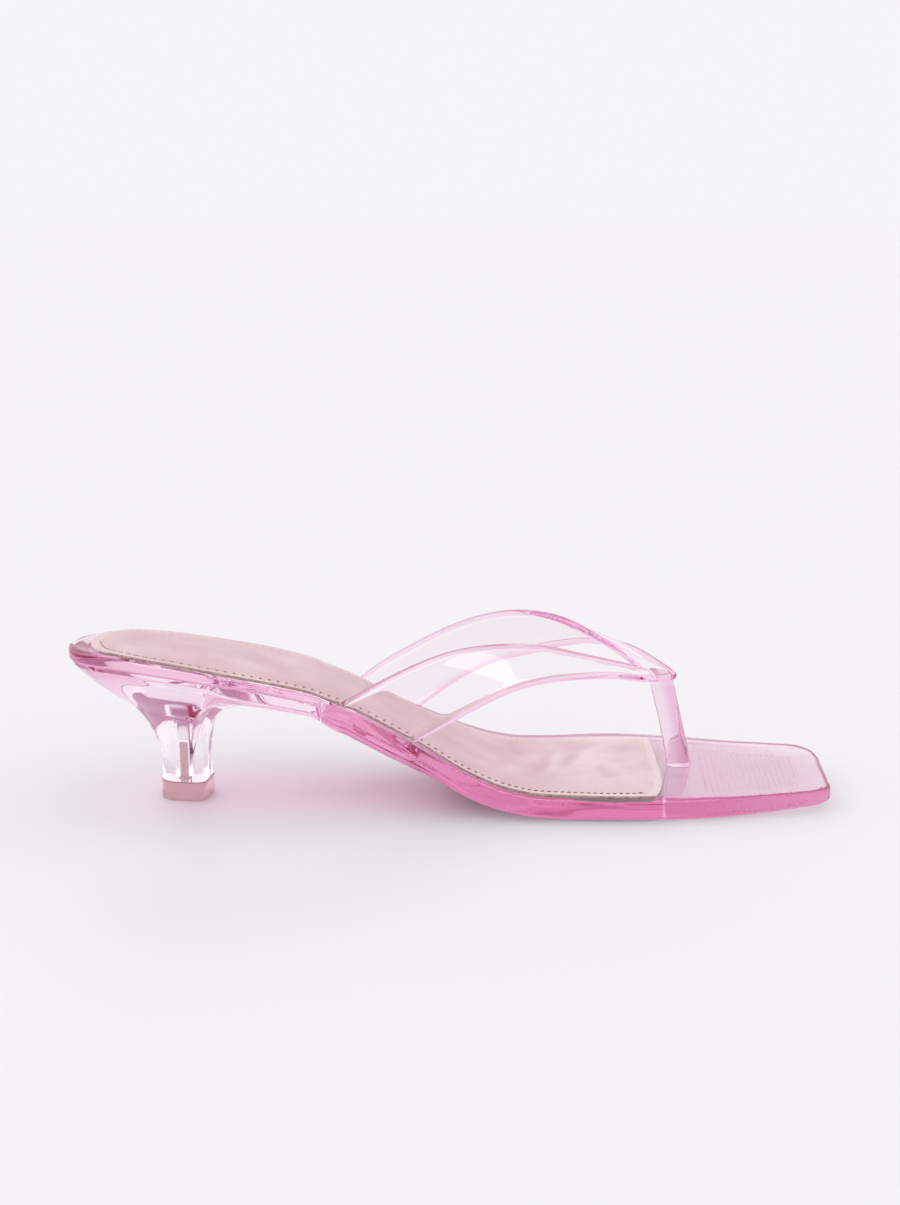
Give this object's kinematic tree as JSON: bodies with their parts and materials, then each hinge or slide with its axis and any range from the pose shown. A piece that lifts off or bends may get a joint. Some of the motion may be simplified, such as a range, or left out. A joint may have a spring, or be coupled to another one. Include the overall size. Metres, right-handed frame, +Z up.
{
  "type": "toe post sandal",
  "caption": "Slip-on toe post sandal for the right foot with a clear pink sole, clear straps that meet in a knot over the toe post, an inlaid leather insole and a clear kitten heel.",
  "frame": {"origin": "on the floor, under the middle of the sandal's box", "axes": "+X along the foot to the toe, +Y to the inner side of the foot, +Z up"},
  "size_m": [0.2464, 0.0812, 0.0554],
  "materials": {
    "sole": "clear pink moulded plastic, glossy",
    "insole": "pale pink fine-grained leather, stitched round its edge",
    "heel": "nearly colourless clear plastic, glossy",
    "heel_screw": "clear plastic screw inside the heel",
    "heel_tip": "dusty rose, half see-through, smooth",
    "upper": "clear plastic with a pink tint, glossy"
  },
  "bodies": {
    "root": {"sole": "sole", "insole": "insole", "heel": "heel", "heel_screw": "heel_screw", "heel_tip": "heel_tip", "upper": "upper"}
  },
  "joints": []
}
